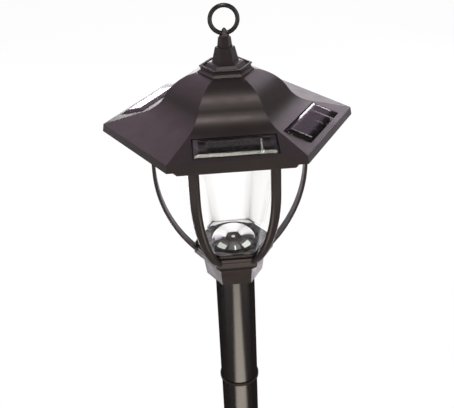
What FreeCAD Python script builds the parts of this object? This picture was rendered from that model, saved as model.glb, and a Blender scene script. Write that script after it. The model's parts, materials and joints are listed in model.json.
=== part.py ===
"""Solar garden light: a hexagonal lantern on a two-piece pole with a ground spike.

Millimetres, +Z up, origin on the pole's axis at ground level. The roof has its corners on
azimuths 0, 60, 120 ... degrees from +X, and the front solar panel faces -Y.
Levels are stacked from the ground up, so a change of one height carries all above it.
"""
import FreeCAD, Part
import math
import os
from types import SimpleNamespace
import Sketcher

SIZES = (
    # ground spike and pole
    ("spike_flange_height", 2.5, "collar that stops the spike at the ground"),
    ("spike_flange_radius", 17.5, "radius of that collar"),
    ("spike_length", 150, "depth of the blades below the ground"),
    ("spike_blade_span", 26, "width of a blade under the flange"),
    ("spike_blade_thickness", 3, "thickness of a blade"),
    ("spike_tip_span", 6, "width of a blade where the point begins"),
    ("spike_tip_length", 16, "length of the point"),
    ("pole_wall", 1, "wall of both pole tubes"),
    ("lower_pole_radius", 15.5, "outer radius of the lower tube"),
    ("lower_pole_length", 138, "length of the lower tube"),
    ("upper_pole_radius", 15.8, "outer radius of the upper tube"),
    ("upper_pole_exposed", 106.8, "upper tube seen between coupler and collar"),
    ("coupler_flange_height", 2.5, "rim seen between the two tubes"),
    ("coupler_overhang", 1, "rim beyond the upper tube"),
    ("plug_length", 24, "length of each plug that enters a tube"),
    ("plug_wall", 2, "wall of the hollow plugs"),
    # lantern base
    ("socket_depth", 16, "depth of the upper tube in the collar"),
    ("collar_height", 14, "straight part of the hexagonal collar"),
    ("collar_radius", 22.5, "corner radius at the collar's lower end"),
    ("neck_radius", 24.4, "corner radius where collar and neck meet"),
    ("neck_height", 5.8, "flared neck below the lip"),
    ("lip_radius", 31.5, "corner radius of the lip that carries the ribs"),
    ("lip_height", 5.7, "height of the lip"),
    ("lip_edge", 0.7, "bevel on the lip's edges"),
    ("shoulder_radius", 31.8, "corner radius of the shoulder on the lip"),
    ("shoulder_height", 2.5, "height of that shoulder"),
    ("groove_radius", 30.3, "corner radius of the shadow groove under the lens"),
    ("groove_height", 2.5, "height of that groove"),
    ("base_floor", 3, "floor of the base plate under the reflector"),
    ("base_screw_circle", 10.5, "radius of the circle of the three base screws"),
    # reflector
    ("reflector_wall", 1, "wall of the metallised moulding"),
    ("reflector_flange", 1.5, "thickness of its hexagonal flange"),
    ("dish_radius", 24.2, "radius of the dish at its rim"),
    ("dish_depth", 4.5, "depth of the dish below its rim"),
    ("dish_curve", 20, "radius of the dish's curve"),
    ("dome_radius", 16.2, "radius of the dome"),
    ("dome_sink", 6.3, "dome's centre below the rim"),
    # lens
    ("lens_drop", 91.5, "height of the clear lens"),
    ("lens_top_radius", 51.5, "corner radius of the lens at the top"),
    ("lens_bottom_radius", 31.5, "corner radius of the lens at the bottom"),
    ("lens_wall", 1.8, "wall of the lens"),
    ("lens_flange_reach", 2.5, "flange beyond the lens's top, at the corner"),
    ("lens_flange_height", 1.5, "thickness of that flange"),
    # cage
    ("rib_lens_gap", 5.7, "ribs' centre line beyond the lens's corner, under the roof"),
    ("rib_foot_radius", 25.4, "ribs' centre line if carried down the full bend"),
    ("rib_bend_angle", 46, "angle that the ribs curve through"),
    ("rib_thickness", 2.6, "radial thickness of a rib"),
    ("rib_width", 8, "width of a rib"),
    ("rib_rounding", 1.9, "rounding along a rib's outer edges"),
    ("tenon_depth", 2.4, "rib's tenon in the cage ring"),
    ("tenon_width", 4, "width of that tenon"),
    ("tenon_thickness", 2, "thickness of that tenon"),
    ("ring_height", 4, "height of the cage ring"),
    ("ring_margin", 3.1, "ring's corner beyond the ribs' centre line"),
    # tray
    ("tray_depth", 13, "tray's underside below the eave line"),
    ("tray_wall", 2, "wall of the tray"),
    ("tray_floor", 2.5, "floor of the tray"),
    ("tray_edge", 1.2, "bevel round the tray's lower edge"),
    ("eave_overhang", 10.5, "roof's corner beyond the tray's corner"),
    ("gasket_height", 1, "thickness of the roof gasket"),
    ("gasket_width", 1.6, "width of the roof gasket"),
    ("roof_screw_inset", 9.5, "roof screws inside the tray's corners"),
    # roof
    ("eave_radius", 90, "corner radius at the eave line"),
    ("fascia_height", 5.5, "band below the eave line"),
    ("fascia_flare", 1, "fascia's foot beyond the eave line"),
    ("fascia_wall", 2, "wall of the fascia"),
    ("land_drop", 2, "gasket land below the eave line"),
    ("land_width", 3, "land inside the tray's corner"),
    ("shell_drop", 2.6, "upright thickness of the roof's wall"),
    ("brim_width", 26.1, "level width of the flat brim, square to the eave"),
    ("brim_angle", 15.5, "slope of the brim"),
    ("sweep_radius", 22, "hollow curve above the brim"),
    ("steep_angle", 60, "steepest slope"),
    ("steep_length", 2.4, "straight stretch at that slope"),
    ("crown_radius", 30, "round curve below the cap"),
    ("crown_angle", 13.9, "slope where the crown ends"),
    # solar panels
    ("panel_length", 55, "cover's length along the eave"),
    ("panel_width", 19, "cover's width up the slope"),
    ("panel_gap", 0.8, "gap round the cover"),
    ("panel_centre", 14.3, "panel's centre from the eave, up the slope"),
    ("panel_rise", 1.8, "cover above the brim"),
    ("panel_bevel", 3.4, "width of the cover's bevel"),
    ("panel_top_softness", 5, "radius along the bevel's upper edge"),
    ("panel_foot_softness", 0.6, "radius along the bevel's lower edge"),
    ("recess_depth", 2.6, "depth of the recess in the brim"),
    ("recess_floor", 1.5, "plastic under the recess"),
    ("cell_length", 37, "length of the solar cell"),
    ("cell_width", 15.5, "width of the solar cell"),
    ("cell_thickness", 1.2, "thickness of the solar cell"),
    # cap, finial and hanging ring
    ("cap_radius", 20, "corner radius of the cap's foot"),
    ("cap_lip_radius", 18.1, "corner radius of the cap's lip"),
    ("cap_height", 5, "height of the cap's sides"),
    ("cap_rise", 2, "rise of the cap's top to the finial"),
    ("cap_lip", 0.5, "lip round the cap's top"),
    ("finial_foot_radius", 9.5, "corner radius of the finial's foot"),
    ("finial_waist_radius", 6.9, "corner radius at the top of its lower part"),
    ("finial_body_height", 10.4, "height of its lower part"),
    ("spire_foot_radius", 5.3, "corner radius at the spire's foot"),
    ("spire_eye_radius", 4.3, "corner radius just below the eye"),
    ("spire_eye_height", 8, "height from the spire's foot to that level"),
    ("spire_tip_radius", 0.7, "corner radius of the blunt tip"),
    ("spire_height", 13, "height of the spire"),
    ("eye_height", 9.3, "eye above the spire's foot"),
    ("eye_throat", 1, "length of the eye's narrow part"),
    ("eye_mouth_radius", 2.9, "radius of the eye's flared mouths"),
    ("stud_radius", 2, "finial's stud"),
    ("stud_length", 14, "length of the stud"),
    ("nut_radius", 4, "corner radius of the stud's nut"),
    ("nut_height", 3, "height of that nut"),
    ("loop_radius", 9.5, "hanging ring, to the middle of its wire"),
    ("loop_wire_radius", 1.5, "radius of the ring's wire"),
    # electrics
    ("box_side_gap", 0.7, "battery box from the tray's wall"),
    ("battery_radius", 5.25, "AAA cell"),
    ("battery_length", 43.7, "AAA cell without its button"),
    ("battery_button", 0.8, "height of the AAA cell's button"),
    ("battery_button_radius", 1.8, "radius of that button"),
    ("contact_thickness", 0.4, "battery contact's sheet"),
    ("contact_width", 7.3, "battery contact's square leaf"),
    ("spring_radius", 2.6, "battery contact's spring"),
    ("box_wall", 1.2, "wall of the battery box"),
    ("box_inner_width", 11.5, "battery box inside, square to the eave"),
    ("box_inner_length", 51.6, "battery box inside, along the eave"),
    ("box_height", 10.9, "height of the battery box"),
    ("door_thickness", 1.2, "battery door"),
    ("door_width", 11, "battery door, square to its hinge"),
    ("door_length", 52, "battery door, along its hinge"),
    ("door_ledge", 1.2, "ledge that the door closes against"),
    ("hinge_offset", 0.6, "hinge line beyond the door's plate"),
    ("hinge_barrel_radius", 0.9, "door's barrel"),
    ("hinge_pin_radius", 0.6, "pins at the barrel's ends"),
    ("hinge_pin_length", 1.4, "pins beyond the door"),
    ("hinge_room", 1.5, "opening beyond the hinge line"),
    ("notch_length", 10.4, "door's thumb notch along the hinge"),
    ("notch_width", 2.4, "width of that notch, half of it in the door"),
    ("notch_depth", 0.6, "depth of that notch"),
    ("switch_travel", 3, "slide of the switch knob"),
    ("knob_length", 4.2, "switch knob along its slide"),
    ("knob_width", 3, "switch knob across its slide"),
    ("knob_reach", 1.2, "switch knob below the tray"),
    ("knob_plate_length", 11, "plate that carries the knob"),
    ("knob_plate_width", 5.4, "width of that plate"),
    ("knob_plate_height", 1, "thickness of that plate"),
    ("grip_width", 0.6, "grooves across the knob"),
    ("grip_spacing", 1.2, "from groove to groove"),
    ("grip_depth", 0.4, "depth of those grooves"),
    ("thumb_margin", 1.7, "thumb recess round the switch's slot"),
    ("thumb_depth", 0.8, "depth of that recess"),
    ("switch_wall", 1.3, "wall of the switch housing"),
    ("switch_height", 5, "height of the switch housing"),
    ("board_length", 56, "circuit board along X"),
    ("board_width", 34, "circuit board along Y"),
    ("board_thickness", 1.6, "circuit board"),
    ("board_lift", 4, "circuit board above the tray's floor"),
    ("board_screw_spacing", 44, "distance between the board's screws"),
    ("board_screw_skin", 1, "floor left under the board's screws"),
    ("holder_radius", 7, "barrel of the light's holder"),
    ("holder_flange", 2.5, "flange beyond that barrel"),
    ("holder_flange_height", 1, "thickness of that flange"),
    ("lamp_radius", 2.5, "light-emitting diode"),
    ("lamp_rim", 0.4, "rim of the diode's case"),
    ("lamp_length", 8.6, "length of the diode's case"),
    # screws
    ("screw_radius", 1.25, "all small screws"),
    ("screw_head_radius", 2.5, "all small screws"),
    ("screw_head_height", 1.5, "all small screws"),
    ("screw_drive_length", 3, "length of the cross recess"),
    ("screw_drive_width", 0.6, "width of the cross recess"),
    ("boss_radius", 3.1, "posts that take the screws"),
    # fits
    ("running_clearance", 0.05, "radial play of a fit that slides or turns"),
    ("snug_gap", 0.1, "gap round plates that move or lie in a frame"),
    ("drop_in_gap", 0.3, "gap round pieces that drop in"),
)

CORNERS = (0, 60, 120, 180, 240, 300)
PANEL_FACES = (270, 330, 90, 150)
BATTERY_FACE = 30
SWITCH_FACE = 150
RING_SCREW_FACES = (90, 210, 330)
BASE_SCREW_TURNS = (30, 150, 270)
HEX_COSINE = math.cos(math.radians(30))
TOLERANCE = 1e-6

doc = FreeCAD.newDocument("SolarGardenLight")
sheet = doc.addObject("Spreadsheet::Sheet", "Sizes")
for row, (alias, value, note) in enumerate(SIZES, 1):
    sheet.set(f"A{row}", alias)
    sheet.set(f"B{row}", str(value))
    sheet.set(f"C{row}", note)
    sheet.setAlias(f"B{row}", alias)
doc.recompute()


# ---------------------------------------------------------------- sizes as expressions

class Size:
    """A size as the sheet's expression, with its present value for first placing a sketch."""

    def __init__(self, text, value):
        self.text = text
        self.value = float(value)

    def __add__(self, other):
        other = as_size(other)
        return Size(f"({self.text} + {other.text})", self.value + other.value)

    def __radd__(self, other):
        return as_size(other) + self

    def __sub__(self, other):
        other = as_size(other)
        return Size(f"({self.text} - {other.text})", self.value - other.value)

    def __rsub__(self, other):
        return as_size(other) - self

    def __mul__(self, other):
        other = as_size(other)
        return Size(f"({self.text} * {other.text})", self.value * other.value)

    __rmul__ = __mul__

    def __truediv__(self, other):
        other = as_size(other)
        return Size(f"({self.text} / {other.text})", self.value / other.value)

    def __neg__(self):
        return as_size(0) - self


def as_size(number):
    return number if isinstance(number, Size) else Size(repr(number), number)


def sine(angle):
    return Size(f"sin({angle.text})", math.sin(math.radians(angle.value)))


def cosine(angle):
    return Size(f"cos({angle.text})", math.cos(math.radians(angle.value)))


def root(number):
    return Size(f"sqrt({number.text})", math.sqrt(number.value))


size = SimpleNamespace(**{alias: Size(f"Sizes.{alias}", value) for alias, value, _ in SIZES})


def apothem(radius):
    """Distance from a hexagon's centre to its sides."""
    return radius * HEX_COSINE


def inset(radius, wall):
    """Corner radius of a hexagon whose sides lie one wall inside another's."""
    return radius - wall / HEX_COSINE


# Levels, from the ground up
lower_pole_low = size.spike_flange_height
lower_pole_top = lower_pole_low + size.lower_pole_length
upper_pole_low = lower_pole_top + size.coupler_flange_height
collar_low = upper_pole_low + size.upper_pole_exposed
upper_pole_top = collar_low + size.socket_depth
neck_low = collar_low + size.collar_height
lip_low = neck_low + size.neck_height
shoulder_low = lip_low + size.lip_height
groove_low = shoulder_low + size.shoulder_height
lens_low = groove_low + size.groove_height
tray_low = lens_low + size.lens_drop
ring_low = tray_low - size.ring_height
floor_top = tray_low + size.tray_floor
eave = tray_low + size.tray_depth
land = eave - size.land_drop
roof_top = (eave + size.brim_width * sine(size.brim_angle) / cosine(size.brim_angle)
            + size.sweep_radius * (cosine(size.brim_angle) - cosine(size.steep_angle))
            + size.steep_length * sine(size.steep_angle)
            + size.crown_radius * (cosine(size.crown_angle) - cosine(size.steep_angle)))
finial_low = roof_top + size.cap_height + size.cap_rise
spire_low = finial_low + size.finial_body_height
eye = spire_low + size.eye_height

# Distances from the axis
lens_flange_radius = size.lens_top_radius + size.lens_flange_reach
rib_top_radius = size.lens_top_radius + size.rib_lens_gap
ring_radius = rib_top_radius + size.ring_margin
ring_screw_apothem = apothem((lens_flange_radius + size.drop_in_gap + ring_radius) / 2)
tray_radius = size.eave_radius - size.eave_overhang
roof_screw_radius = tray_radius - size.roof_screw_inset
box_outer_width = size.box_inner_width + size.box_wall * 2
tray_inner_apothem = apothem(tray_radius) - size.tray_wall - size.box_side_gap
cartridge_apothem = tray_inner_apothem - box_outer_width / 2
switch_room_width = size.knob_plate_width + size.snug_gap * 2
switch_apothem = tray_inner_apothem - size.switch_wall - switch_room_width / 2
eye_radius = size.loop_wire_radius + size.running_clearance
hinge_x = cartridge_apothem + size.door_width / 2 + size.hinge_offset
hinge_z = tray_low + size.tray_floor / 2


# ---------------------------------------------------------------- document helpers

def bind(item, sizes):
    """Tie properties of an object to the sheet."""
    for path, amount in sizes.items():
        item.setExpression(path, as_size(amount).text)
    return item


def prism(label, radius, low, height):
    item = doc.addObject("Part::Prism", label)
    item.Polygon = 6
    return bind(item, {"Circumradius": radius, "Height": height, "Placement.Base.z": low})


def hex_loft(label, *sections):
    """Straight-sided hexagonal solid through (corner radius, level) sections."""
    outlines = []
    for number, (radius, level) in enumerate(sections, 1):
        outline = doc.addObject("Part::RegularPolygon", f"{label}_section_{number}")
        outline.Polygon = 6
        outlines.append(bind(outline, {"Circumradius": radius, "Placement.Base.z": level}))
    item = doc.addObject("Part::Loft", label)
    item.Sections = outlines
    item.Solid = True
    item.Ruled = True
    return item


def box(label, corner, spans):
    item = doc.addObject("Part::Box", label)
    x, y, z = corner
    length, width, height = spans
    return bind(item, {"Length": length, "Width": width, "Height": height,
                       "Placement.Base.x": x, "Placement.Base.y": y, "Placement.Base.z": z})


def centred_box(label, centre_x, low, spans, centre_y=0):
    length, width, height = spans
    corner = (as_size(centre_x) - length / 2, as_size(centre_y) - width / 2, low)
    return box(label, corner, spans)


def rod(label, radius, start, length, axis="z"):
    """Cylinder from its start point along x, y or z."""
    item = doc.addObject("Part::Cylinder", label)
    turns = {"z": FreeCAD.Rotation(), "x": FreeCAD.Rotation(FreeCAD.Vector(0, 1, 0), 90),
             "y": FreeCAD.Rotation(FreeCAD.Vector(1, 0, 0), -90)}
    item.Placement = FreeCAD.Placement(FreeCAD.Vector(), turns[axis])
    x, y, z = start
    return bind(item, {"Radius": radius, "Height": length, "Placement.Base.x": x,
                       "Placement.Base.y": y, "Placement.Base.z": z})


def cut(label, base, *tools):
    """Base less each tool in turn."""
    for number, tool in enumerate(tools, 1):
        item = doc.addObject("Part::Cut", label if number == len(tools) else f"{label}_cut_{number}")
        item.Base = base
        item.Tool = tool
        item.Refine = True
        base = item
    return base


def fuse(label, *shapes):
    item = doc.addObject("Part::MultiFuse", label)
    item.Shapes = list(shapes)
    item.Refine = True
    return item


def common(label, first, second):
    item = doc.addObject("Part::Common", label)
    item.Base = first
    item.Tool = second
    return item


def group(label, *shapes):
    item = doc.addObject("Part::Compound", label)
    item.Links = list(shapes)
    return item


def turned(label, shape, azimuth):
    """The shape turned about the lantern's axis."""
    item = group(label, shape)
    item.Placement = FreeCAD.Placement(FreeCAD.Vector(), FreeCAD.Rotation(FreeCAD.Vector(0, 0, 1), azimuth))
    return item


def around(label, shape, azimuths):
    """Copies of the shape about the lantern's axis."""
    return group(label, *[turned(f"{label}_{azimuth}", shape, azimuth) for azimuth in azimuths])


def on_brim(label, shape, azimuth):
    """Put a shape, drawn from the eave's edge with x down the slope, on one face."""
    tilted = group(f"{label}_tilted", shape)
    tilted.Placement = FreeCAD.Placement(FreeCAD.Vector(), FreeCAD.Rotation(FreeCAD.Vector(0, 1, 0), 1))
    bind(tilted, {"Placement.Rotation.Angle": size.brim_angle, "Placement.Base.x": apothem(size.eave_radius),
                  "Placement.Base.z": eave})
    return turned(label, tilted, azimuth)


def new_body(label, low=0, azimuth=0):
    body = doc.addObject("PartDesign::Body", label)
    body.Placement = FreeCAD.Placement(FreeCAD.Vector(), FreeCAD.Rotation(FreeCAD.Vector(0, 0, 1), azimuth))
    return bind(body, {"Placement.Base.z": low})


def origin_feature(body, role):
    return next(item for item in body.Origin.OriginFeatures if item.Role == role)


def arc_between(start, end, radius, side):
    """Arc from start to end with its centre to the left (+1) or the right (-1) of the chord."""
    chord = end - start
    height = math.sqrt(max(radius ** 2 - (chord.Length / 2) ** 2, 0.0))
    normal = FreeCAD.Vector(-chord.y, chord.x, 0).normalize()
    centre = (start + end) * 0.5 + normal * (height * side)
    first, last = (start, end) if side > 0 else (end, start)
    angles = [math.atan2(point.y - centre.y, point.x - centre.x) for point in (first, last)]
    return Part.ArcOfCircle(Part.Circle(centre, FreeCAD.Vector(0, 0, 1), radius), angles[0], angles[1])


def outline(body, label, plane, corners, arcs=None):
    """Closed sketch through corners (across, up); arcs maps an edge's number to (radius, side)."""
    arcs = arcs or {}
    sketch = body.newObject("Sketcher::SketchObject", label)
    sketch.AttachmentSupport = [(origin_feature(body, plane), "")]
    sketch.MapMode = "FlatFace"
    points = [FreeCAD.Vector(as_size(x).value, as_size(y).value, 0) for x, y in corners]
    ends = []
    for number, start in enumerate(points):
        end = points[(number + 1) % len(points)]
        if number in arcs:
            radius, side = arcs[number]
            edge = sketch.addGeometry(arc_between(start, end, radius.value, side))
            ends.append((edge, 1, 2) if side > 0 else (edge, 2, 1))
        else:
            ends.append((sketch.addGeometry(Part.LineSegment(start, end)), 1, 2))
    for number, (edge, first, _) in enumerate(ends):
        previous, _, last = ends[number - 1]
        sketch.addConstraint(Sketcher.Constraint("Coincident", previous, last, edge, first))
    for (edge, first, _), corner in zip(ends, corners):
        for kind, axis, amount in (("DistanceX", -2, corner[0]), ("DistanceY", -1, corner[1])):
            amount = as_size(amount)
            if amount.text == "0":
                sketch.addConstraint(Sketcher.Constraint("PointOnObject", edge, first, axis))
                continue
            index = sketch.addConstraint(Sketcher.Constraint(kind, -1, 1, edge, first, amount.value))
            sketch.setExpression(f"Constraints[{index}]", amount.text)
    for number, (radius, _) in arcs.items():
        index = sketch.addConstraint(Sketcher.Constraint("Radius", ends[number][0], radius.value))
        sketch.setExpression(f"Constraints[{index}]", radius.text)
    return sketch


def pad(body, label, profile, length):
    """Pad both ways from the sketch."""
    item = body.newObject("PartDesign::Pad", label)
    item.Profile = profile
    item.SideType = "Symmetric"
    return bind(item, {"Length": length})


def revolved(label, low, corners, arcs=None):
    """Body turned about the vertical axis from a profile of (radius, height) corners."""
    body = new_body(label, low)
    profile = outline(body, f"{label}_profile", "XZ_Plane", corners, arcs)
    item = body.newObject("PartDesign::Revolution", f"{label}_turn")
    item.Profile = profile
    item.ReferenceAxis = (profile, ["V_Axis"])
    item.Angle = 360
    return body


def tube(label, radius, wall, low, length):
    outer = rod(f"{label}_outer", radius, (0, 0, low), length)
    inner = rod(f"{label}_bore", radius - wall, (0, 0, low), length)
    return cut(label, outer, inner)


def screw(label, seat, length, x=0, head_up=True):
    """Pan-head screw whose head rests on the seat level; its shank points the other way."""
    head_low = seat if head_up else seat - size.screw_head_height
    head = rod(f"{label}_head", size.screw_head_radius, (x, 0, head_low), size.screw_head_height)
    shank = rod(f"{label}_shank", size.screw_radius, (x, 0, seat - length if head_up else seat), length)
    slot_low = (seat + size.screw_head_height / 2) if head_up else head_low
    slot_height = size.screw_head_height / 2
    long_slot = centred_box(f"{label}_slot", x, slot_low,
                            (size.screw_drive_length, size.screw_drive_width, slot_height))
    cross_slot = centred_box(f"{label}_cross", x, slot_low,
                             (size.screw_drive_width, size.screw_drive_length, slot_height))
    return cut(label, fuse(f"{label}_blank", head, shank), fuse(f"{label}_drive", long_slot, cross_slot))


# ---------------------------------------------------------------- spike and pole

def ground_spike():
    """Cross-bladed spike with a stop flange and a plug for the lower tube."""
    half = size.spike_blade_span / 2
    tip_half = size.spike_tip_span / 2
    tip_level = -(size.spike_length - size.spike_tip_length)
    body = new_body("spike_blade")
    corners = [(-half, 0), (-tip_half, tip_level), (0, -size.spike_length), (tip_half, tip_level), (half, 0)]
    pad(body, "spike_blade_pad", outline(body, "spike_blade_outline", "XZ_Plane", corners),
        size.spike_blade_thickness)
    flange = rod("spike_flange", size.spike_flange_radius, (0, 0, 0), size.spike_flange_height)
    plug_radius = size.lower_pole_radius - size.pole_wall - size.running_clearance
    plug = rod("spike_plug", plug_radius, (0, 0, lower_pole_low), size.plug_length)
    bore = rod("spike_plug_bore", plug_radius - size.plug_wall, (0, 0, lower_pole_low), size.plug_length)
    blades = [turned(f"spike_blade_{azimuth}", body, azimuth) for azimuth in (45, 135)]
    return cut("ground_spike", fuse("spike_solid", flange, plug, *blades), bore)


def pole_coupler():
    """Plastic joiner: a rim between the tubes and a hollow plug into each."""
    rim = size.upper_pole_radius + size.coupler_overhang
    high = size.coupler_flange_height
    lower = size.lower_pole_radius - size.pole_wall - size.running_clearance
    upper = size.upper_pole_radius - size.pole_wall - size.running_clearance
    bore = lower - size.plug_wall
    edge = size.coupler_overhang / 2
    corners = [(bore, -size.plug_length), (lower - edge, -size.plug_length),
               (lower, -size.plug_length + size.coupler_overhang), (lower, 0), (rim, 0), (rim, high),
               (upper, high), (upper, high + size.plug_length - size.coupler_overhang),
               (upper - edge, high + size.plug_length), (bore, high + size.plug_length)]
    return revolved("pole_coupler", lower_pole_top, corners)


def poles():
    tube("pole_lower", size.lower_pole_radius, size.pole_wall, lower_pole_low, size.lower_pole_length)
    tube("pole_upper", size.upper_pole_radius, size.pole_wall, upper_pole_low,
         upper_pole_top - upper_pole_low)


# ---------------------------------------------------------------- lantern base

def pole_socket():
    """Hexagonal collar with a flared neck; the upper tube stops against its shoulder."""
    collar = hex_loft("socket_collar", (size.collar_radius, collar_low), (size.neck_radius, neck_low))
    neck_top = size.lip_radius - size.lip_edge
    neck = hex_loft("socket_neck", (size.neck_radius, neck_low), (neck_top, lip_low))
    bore = rod("socket_bore", size.upper_pole_radius + size.running_clearance, (0, 0, collar_low),
               size.socket_depth)
    pilot = rod("socket_pilot", size.screw_radius, (size.base_screw_circle, 0, upper_pole_top),
                lip_low - upper_pole_top)
    return cut("pole_socket", fuse("socket_solid", collar, neck), bore,
               around("socket_pilots", pilot, BASE_SCREW_TURNS))


def base_plate(ribs):
    """Lip, shoulder and shadow groove, notched at the corners for the ribs' feet."""
    lip = hex_loft("base_lip", (size.lip_radius - size.lip_edge, lip_low),
                   (size.lip_radius, lip_low + size.lip_edge),
                   (size.lip_radius, shoulder_low - size.lip_edge),
                   (size.lip_radius - size.lip_edge, shoulder_low))
    shoulder = prism("base_shoulder", size.shoulder_radius, shoulder_low, size.shoulder_height)
    groove = prism("base_groove", size.groove_radius, groove_low, size.groove_height)
    cavity_low = lip_low + size.base_floor
    cavity = rod("base_cavity", size.dish_radius + size.reflector_wall, (0, 0, cavity_low),
                 lens_low - cavity_low)
    hole = rod("base_screw_hole", size.screw_radius, (size.base_screw_circle, 0, lip_low), size.base_floor)
    return cut("base_plate", fuse("base_solid", lip, shoulder, groove), cavity,
               around("base_screw_holes", hole, BASE_SCREW_TURNS), group("base_notches", *ribs))


def base_screws():
    one = screw("base_screw", lip_low + size.base_floor, lip_low + size.base_floor - upper_pole_top,
                size.base_screw_circle)
    return around("base_screws", one, BASE_SCREW_TURNS)


def reflector():
    """Metallised moulding: a dome in a dish, on a hexagonal flange inside the lens."""
    wall = size.reflector_wall
    centre = -size.dome_sink
    foot_rise = size.dome_sink - size.dish_depth
    foot = centre + foot_rise
    inner_radius = size.dome_radius - wall
    dome_foot = root(size.dome_radius * size.dome_radius - foot_rise * foot_rise)
    inner_foot = root(inner_radius * inner_radius - foot_rise * foot_rise)
    corners = [(0, centre + size.dome_radius), (0, centre + inner_radius), (inner_foot, foot),
               (dome_foot + wall / 2, foot - wall), (size.dish_radius + wall, 0), (size.dish_radius, 0),
               (dome_foot, foot)]
    arcs = {1: (inner_radius, -1), 3: (size.dish_curve + wall, 1), 5: (size.dish_curve, -1),
            6: (size.dome_radius, 1)}
    rim = lens_low + size.reflector_flange
    shell = revolved("reflector_shell", rim, corners, arcs)
    flange_radius = inset(size.lens_bottom_radius, size.lens_wall + size.snug_gap)
    plate = prism("reflector_plate", flange_radius, lens_low, size.reflector_flange)
    hole = rod("reflector_plate_hole", size.dish_radius + wall / 2, (0, 0, lens_low), size.reflector_flange)
    return fuse("reflector", cut("reflector_flange", plate, hole), shell)


def lens():
    """Clear six-sided lens, wider at the top, with a flange that the cage ring clamps."""
    flange_low = tray_low - size.lens_flange_height
    inner_top = inset(size.lens_top_radius, size.lens_wall)
    body = hex_loft("lens_body", (size.lens_bottom_radius, lens_low), (size.lens_top_radius, tray_low))
    flange = prism("lens_flange", lens_flange_radius, flange_low, size.lens_flange_height)
    hollow = hex_loft("lens_hollow", (inset(size.lens_bottom_radius, size.lens_wall), lens_low),
                      (inner_top, tray_low))
    return cut("lens", fuse("lens_solid", body, flange), hollow)


# ---------------------------------------------------------------- cage

def cage_rib(number, azimuth):
    """Flat rib: straight under the roof, then one arc in to the base; tenon at its top."""
    label = f"cage_rib_{number}"
    half = size.rib_thickness / 2
    curve = (rib_top_radius - size.rib_foot_radius) / (1 - cosine(size.rib_bend_angle))
    drop = curve * sine(size.rib_bend_angle)
    centre = rib_top_radius - curve
    outer, inner = curve + half, curve - half
    outer_foot = centre + root(outer * outer - drop * drop)
    inner_foot = centre + root(inner * inner - drop * drop)
    top = ring_low - lip_low
    corners = [(rib_top_radius - half, drop), (inner_foot, 0), (outer_foot, 0),
               (rib_top_radius + half, drop), (rib_top_radius + half, top),
               (rib_top_radius - half, top)]
    arcs = {0: (inner, -1), 2: (outer, 1)}
    body = new_body(label, lip_low, azimuth)
    strip = pad(body, f"{label}_strip", outline(body, f"{label}_outline", "XZ_Plane", corners, arcs),
                size.rib_width)
    doc.recompute()
    outer_edges = [f"Edge{n}" for n, edge in enumerate(strip.Shape.Edges, 1)
                   if edge.Length > size.rib_width.value + TOLERANCE
                   and edge.BoundBox.XMax > rib_top_radius.value]
    rounding = body.newObject("PartDesign::Fillet", f"{label}_rounding")
    rounding.Base = (strip, outer_edges)
    bind(rounding, {"Radius": size.rib_rounding})
    tenon_half = size.tenon_thickness / 2
    tenon = [(rib_top_radius - tenon_half, top), (rib_top_radius + tenon_half, top),
             (rib_top_radius + tenon_half, top + size.tenon_depth),
             (rib_top_radius - tenon_half, top + size.tenon_depth)]
    pad(body, f"{label}_tenon", outline(body, f"{label}_tenon_outline", "XZ_Plane", tenon), size.tenon_width)
    return body


def cage_ring():
    """Hexagonal ring under the tray: takes the ribs' tenons and clamps the lens's flange."""
    plate = prism("ring_plate", ring_radius, ring_low, size.ring_height)
    opening = prism("ring_opening", size.lens_top_radius + size.drop_in_gap, ring_low, size.ring_height)
    rebate = prism("ring_rebate", lens_flange_radius + size.drop_in_gap,
                   tray_low - size.lens_flange_height, size.lens_flange_height)
    slot = centred_box("ring_slot", rib_top_radius, ring_low,
                       (size.tenon_thickness, size.tenon_width, size.tenon_depth))
    place = (ring_screw_apothem, 0, ring_low)
    hole = rod("ring_screw_hole", size.screw_radius, place, size.ring_height)
    sink = rod("ring_screw_sink", size.screw_head_radius, place, size.screw_head_height)
    return cut("cage_ring", plate, fuse("ring_void", opening, rebate), around("ring_slots", slot, CORNERS),
               around("ring_screw_holes", fuse("ring_screw_void", hole, sink), RING_SCREW_FACES))


def cage_screws():
    seat = ring_low + size.screw_head_height
    one = screw("cage_screw", seat, floor_top - seat, ring_screw_apothem, head_up=False)
    return around("cage_screws", one, RING_SCREW_FACES)


# ---------------------------------------------------------------- tray

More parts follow.
